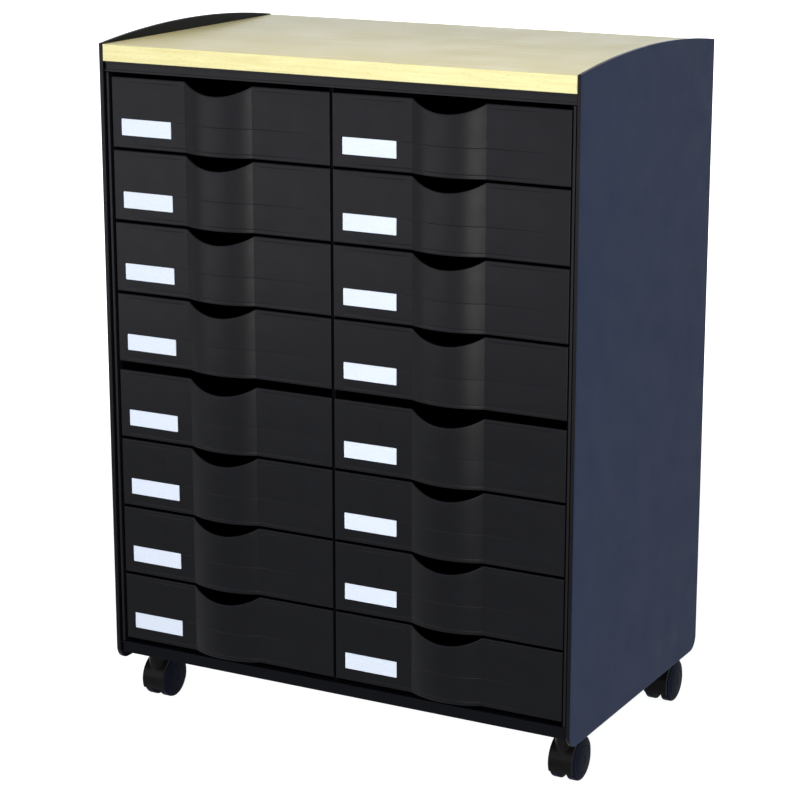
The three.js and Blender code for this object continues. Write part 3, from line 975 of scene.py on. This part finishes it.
def hood_form(axle, wheel_radius, wheel_inner, neck_top, socket_foot):
    """The cover over both wheels with its web, axle and neck; the swivel axis at x = y = 0"""
    cavity_radius = wheel_radius + WHEEL_PLAY
    cover_radius = cavity_radius + HOOD_WALL
    cover_y = axle - HOOD_FORWARD
    cover_z = wheel_radius + HOOD_LIFT
    shell = rounded_bar(cover_radius, -HOOD_HALF_WIDTH, HOOD_HALF_WIDTH, COVER_ROUND)
    cover = turned("cover", shell, along_x(1, cover_y, cover_z))
    neck = turned("neck", rounded_bar(NECK_RADIUS, cover_z + NECK_LIFT, neck_top, NECK_ROUND))
    steps = [("UNION", neck)]
    web = wheel_inner - WEB_PLAY
    beyond = HOOD_HALF_WIDTH + CUT_OVERRUN
    cavity = ((0, web), (cavity_radius, web), (cavity_radius, beyond), (0, beyond))
    for side in (-1, 1):
        steps.append(("DIFFERENCE", turned("cavity", cavity, along_x(side, axle, wheel_radius))))
    low = (-beyond, cover_y - 2 * cover_radius, -CUT_OVERRUN)
    high = (beyond, cover_y + 2 * cover_radius, HOOD_FLOOR_GAP)
    steps.append(("DIFFERENCE", mesh_of("floor_cut", lambda bm: plain_box(bm, low, high))))
    pin = rounded_bar(AXLE_RADIUS, -AXLE_REACH, AXLE_REACH, AXLE_ROUND)
    steps.append(("UNION", turned("axle", pin, along_x(1, axle, wheel_radius))))
    socket = STEM_RADIUS + STEM_PLAY
    above = neck_top + CUT_OVERRUN
    bore = ((0, socket_foot), (socket, socket_foot), (socket, above), (0, above))
    steps.append(("DIFFERENCE", turned("socket", bore)))
    return combined("hood", cover, steps)


def stem_profile(low, high, collar_top, collar_radius):
    """Half section of a stem with its collar and its grip groove"""
    depth, width, below = STEM_GROOVE
    collar_foot = collar_top - COLLAR_THICKNESS
    rims = quarter(STEM_ROUND)
    collar = quarter(COLLAR_ROUND)
    profile = [(0, low)]
    profile += [(STEM_RADIUS - inset, low + rise) for inset, rise in rims]
    profile += [(STEM_RADIUS, collar_foot)]
    profile += [(collar_radius - inset, collar_foot + rise) for inset, rise in collar]
    profile += [(collar_radius - inset, collar_top - rise) for inset, rise in collar[::-1]]
    profile += [(STEM_RADIUS, collar_top)]
    start = high - below - width
    profile += [(STEM_RADIUS, start), (STEM_RADIUS - depth, start + depth)]
    profile += [(STEM_RADIUS - depth, start + width - depth), (STEM_RADIUS, start + width)]
    profile += [(STEM_RADIUS - inset, high - rise) for inset, rise in rims[::-1]]
    return profile + [(0, high)]


def swivel_axis(caster):
    """Where a caster's swivel axis stands on the floor"""
    low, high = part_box(f"{caster}_stem")
    return (low.x + high.x) / 2, (low.y + high.y) / 2


def make_casters():
    """Stem, hood and wheels of each caster, from one form of each"""
    first = "caster_front_left"
    axis_x, axis_y = swivel_axis(first)
    stem_low, stem_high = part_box(f"{first}_stem")
    wheel_low, wheel_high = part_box(f"{first}_wheel_right")
    inner, outer = wheel_low.x - axis_x, wheel_high.x - axis_x
    radius = (wheel_high.z - wheel_low.z) / 2
    axle = (wheel_high.y + wheel_low.y) / 2 - axis_y
    hood_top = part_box(f"{first}_hood")[1].z
    base_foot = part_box("base_frame")[0].z
    collar_top = base_foot - SEAT_GAP
    socket_foot = stem_low.z - SEAT_GAP
    hood = shaded(hood_form(axle, radius, inner, hood_top, socket_foot))
    collar_radius = (stem_high.x - stem_low.x) / 2
    profile = stem_profile(stem_low.z, stem_high.z, collar_top, collar_radius)
    stem = shaded(turned("stem", profile))
    profile = wheel_profile(inner, outer, radius)
    wheels = {
        column: shaded(turned(f"wheel_{column}", profile, along_x(side, 0, 0)))
        for column, side in zip(COLUMNS, (-1, 1))
    }
    for end in ENDS:
        for column in COLUMNS:
            caster = f"caster_{end}_{column}"
            x, y = swivel_axis(caster)
            foot, hub = (x, y, 0), (x, y + axle, radius)
            parts = [
                ("stem", "turned", stem, zinc, "zinc_steel", foot),
                ("hood", "cover", hood, hood_nylon, "caster_black", foot),
            ]
            for wheel, mesh in wheels.items():
                # the wheels' colour holds painted bluish light
                parts.append((f"wheel_{wheel}", "tyre", mesh, wheel_nylon_painted_blue_light, "caster_black", hub))
            for part, ending, mesh, material, slot, at in parts:
                node = f"{caster}_{part}"
                body = body_of_node(node)
                piece(f"{node}_{ending}", mesh, (material,), body, (node,), at)


make_drawers()
make_frame()
make_board()
make_panels()
make_back()
make_casters()


# Floor, light and camera

FLOOR_HALF = 30
FLOOR_SHARE = 0.5  # how much of the floor near the unit is even white; the rest holds the shadow
FLOOR_LIT = (1.1, 1.7)  # between these distances from the middle the floor turns all even white
FLOOR_WHITE = 1.84
FLOOR_ALBEDO = 0.82
WORLD_TINT = (0.8, 0.91, 1.1, 1)
WORLD_LIGHT = 0.15


def mixed(tree, share, first, second):
    """A mix of two shader nodes"""
    mix = tree.nodes.new("ShaderNodeMixShader")
    tree.links.new(share, mix.inputs[0])
    tree.links.new(first.outputs[0], mix.inputs[1])
    tree.links.new(second.outputs[0], mix.inputs[2])
    return mix.outputs[0]


def background_rays(tree):
    """Two sockets: 1 for camera rays, and 1 for the glossy and transmission rays of surfaces"""
    path = tree.nodes.new("ShaderNodeLightPath")
    glossy = path.outputs["Is Glossy Ray"]
    transmitted = path.outputs["Is Transmission Ray"]
    return path.outputs["Is Camera Ray"], arithmetic(tree, "MAXIMUM", glossy, transmitted)


def floor_white():
    """The floor's material: partly lit for the camera, for the shadow, and else even white"""
    material = bpy.data.materials.new("floor_white")
    material.use_nodes = True
    tree = material.node_tree
    tree.nodes.clear()
    shade = tree.nodes.new("ShaderNodeBsdfDiffuse")
    shade.inputs["Color"].default_value = (FLOOR_ALBEDO, FLOOR_ALBEDO, FLOOR_ALBEDO, 1)
    glow = tree.nodes.new("ShaderNodeEmission")
    camera, mirrored = background_rays(tree)
    extra = arithmetic(tree, "MULTIPLY", camera, FLOOR_WHITE - 1)
    tree.links.new(arithmetic(tree, "ADD", extra, 1), glow.inputs["Strength"])
    distance = tree.nodes.new("ShaderNodeVectorMath")
    distance.operation = "LENGTH"
    place = tree.nodes.new("ShaderNodeTexCoord").outputs["Object"]
    tree.links.new(place, distance.inputs[0])
    even = tree.nodes.new("ShaderNodeMapRange")
    tree.links.new(distance.outputs["Value"], even.inputs["Value"])
    even.inputs["From Min"].default_value, even.inputs["From Max"].default_value = FLOOR_LIT
    even.inputs["To Min"].default_value = FLOOR_SHARE
    share = arithmetic(tree, "MULTIPLY", camera, even.outputs["Result"])
    share = arithmetic(tree, "ADD", share, mirrored)
    output = tree.nodes.new("ShaderNodeOutputMaterial")
    tree.links.new(mixed(tree, share, shade, glow), output.inputs["Surface"])
    return material


def make_floor():
    """The white floor that the unit stands on"""
    bm = bmesh.new()
    bmesh.ops.create_grid(bm, x_segments=1, y_segments=1, size=FLOOR_HALF)
    mesh = bpy.data.meshes.new("floor")
    bm.to_mesh(mesh)
    bm.free()
    mesh.materials.append(floor_white())
    floor = link("floor", mesh)


def make_world():
    """White for rays that show the background, a faint bluish glow for all others"""
    world = bpy.data.worlds.new("studio")
    bpy.context.scene.world = world
    world.use_nodes = True
    tree = world.node_tree
    glow = tree.nodes["Background"]
    glow.inputs["Color"].default_value = WORLD_TINT
    glow.inputs["Strength"].default_value = WORLD_LIGHT
    white = tree.nodes.new("ShaderNodeBackground")
    white.inputs["Color"].default_value = (1, 1, 1, 1)
    share = arithmetic(tree, "MAXIMUM", *background_rays(tree))
    surface = tree.nodes["World Output"].inputs["Surface"]
    tree.links.new(mixed(tree, share, glow, white), surface)


# Each soft box: its name, place and target, its width and height, its radiance and its colour
FRONT_MIDDLE = (0, -0.18, 0.45)
SIDE_MIDDLE = (0.3, 0, 0.45)
LAMPS = (
    ("front_left_softbox", (-1.12, -1.58, 0.42), FRONT_MIDDLE, (1.3, 0.72), 2.9, (0.98, 0.97, 1.05)),
    ("front_middle_fill", (-0.18, -1.7, 0.42), (0, -0.18, 0.4), (0.6, 0.6), 1.9, (1, 0.97, 1.1)),
    ("front_right_softbox", (0.57, -1.59, 0.4), FRONT_MIDDLE, (0.66, 0.66), 9.1, (1, 0.97, 0.91)),
    ("right_softbox", (2.0, -0.7, 0.7), SIDE_MIDDLE, (0.9, 1.0), 2.5, (0.82, 1.0, 1.2)),
    ("side_fill", (3.0, 0.1, 1.1), SIDE_MIDDLE, (2.4, 2.0), 0.3, (0.8, 0.95, 1.2)),
    ("overhead_softbox", (0.08, -0.5, 1.36), (0.02, -0.2, 0.8), (1.3, 0.32), 3.35, (1, 0.98, 0.92)),
    ("rear_strip", (-0.25, 0.7, 0.89), (-0.1, 0.18, 0.82), (1.4, 0.18), 1.0, (0.86, 0.97, 1.16)),
    ("left_softbox", (-2.4, 1.1, 0.45), (-0.3, 0, 0.42), (1.6, 0.8), 6, (0.9, 0.98, 1.08)),
    ("rear_softbox", (-0.5, 2.5, 0.45), (0, 0.18, 0.42), (2.2, 0.8), 3, (1, 0.99, 0.96)),
)


def make_lamp(name, place, target, size, radiance, colour):
    """A soft box at a place that faces a target; radiance is how bright it looks"""
    data = bpy.data.lights.new(name, "AREA")
    data.shape = "RECTANGLE"
    data.size, data.size_y = size
    data.energy = radiance * size[0] * size[1] * math.pi
    data.color = colour
    lamp = bpy.data.objects.new(name, data)
    bpy.context.scene.collection.objects.link(lamp)
    lamp.location = place
    lamp.rotation_euler = (Vector(place) - Vector(target)).to_track_quat("Z", "Y").to_euler()
    lamp.visible_camera = False


def make_camera():
    """The camera at the photograph's viewing angle"""
    data = bpy.data.cameras.new("camera")
    data.lens = CAMERA_LENS
    data.sensor_width = CAMERA_SENSOR
    camera = bpy.data.objects.new("camera", data)
    bpy.context.scene.collection.objects.link(camera)
    flat = math.cos(CAMERA_ELEVATION)
    away = Vector((
        math.sin(CAMERA_AZIMUTH) * flat,
        -math.cos(CAMERA_AZIMUTH) * flat,
        math.sin(CAMERA_ELEVATION),
    ))
    camera.location = CAMERA_TARGET + away * CAMERA_DISTANCE
    camera.rotation_euler = away.to_track_quat("Z", "Y").to_euler()
    bpy.context.scene.camera = camera


make_floor()
make_world()
for lamp in LAMPS:
    make_lamp(*lamp)
make_camera()
bpy.context.scene.view_settings.view_transform = "Standard"
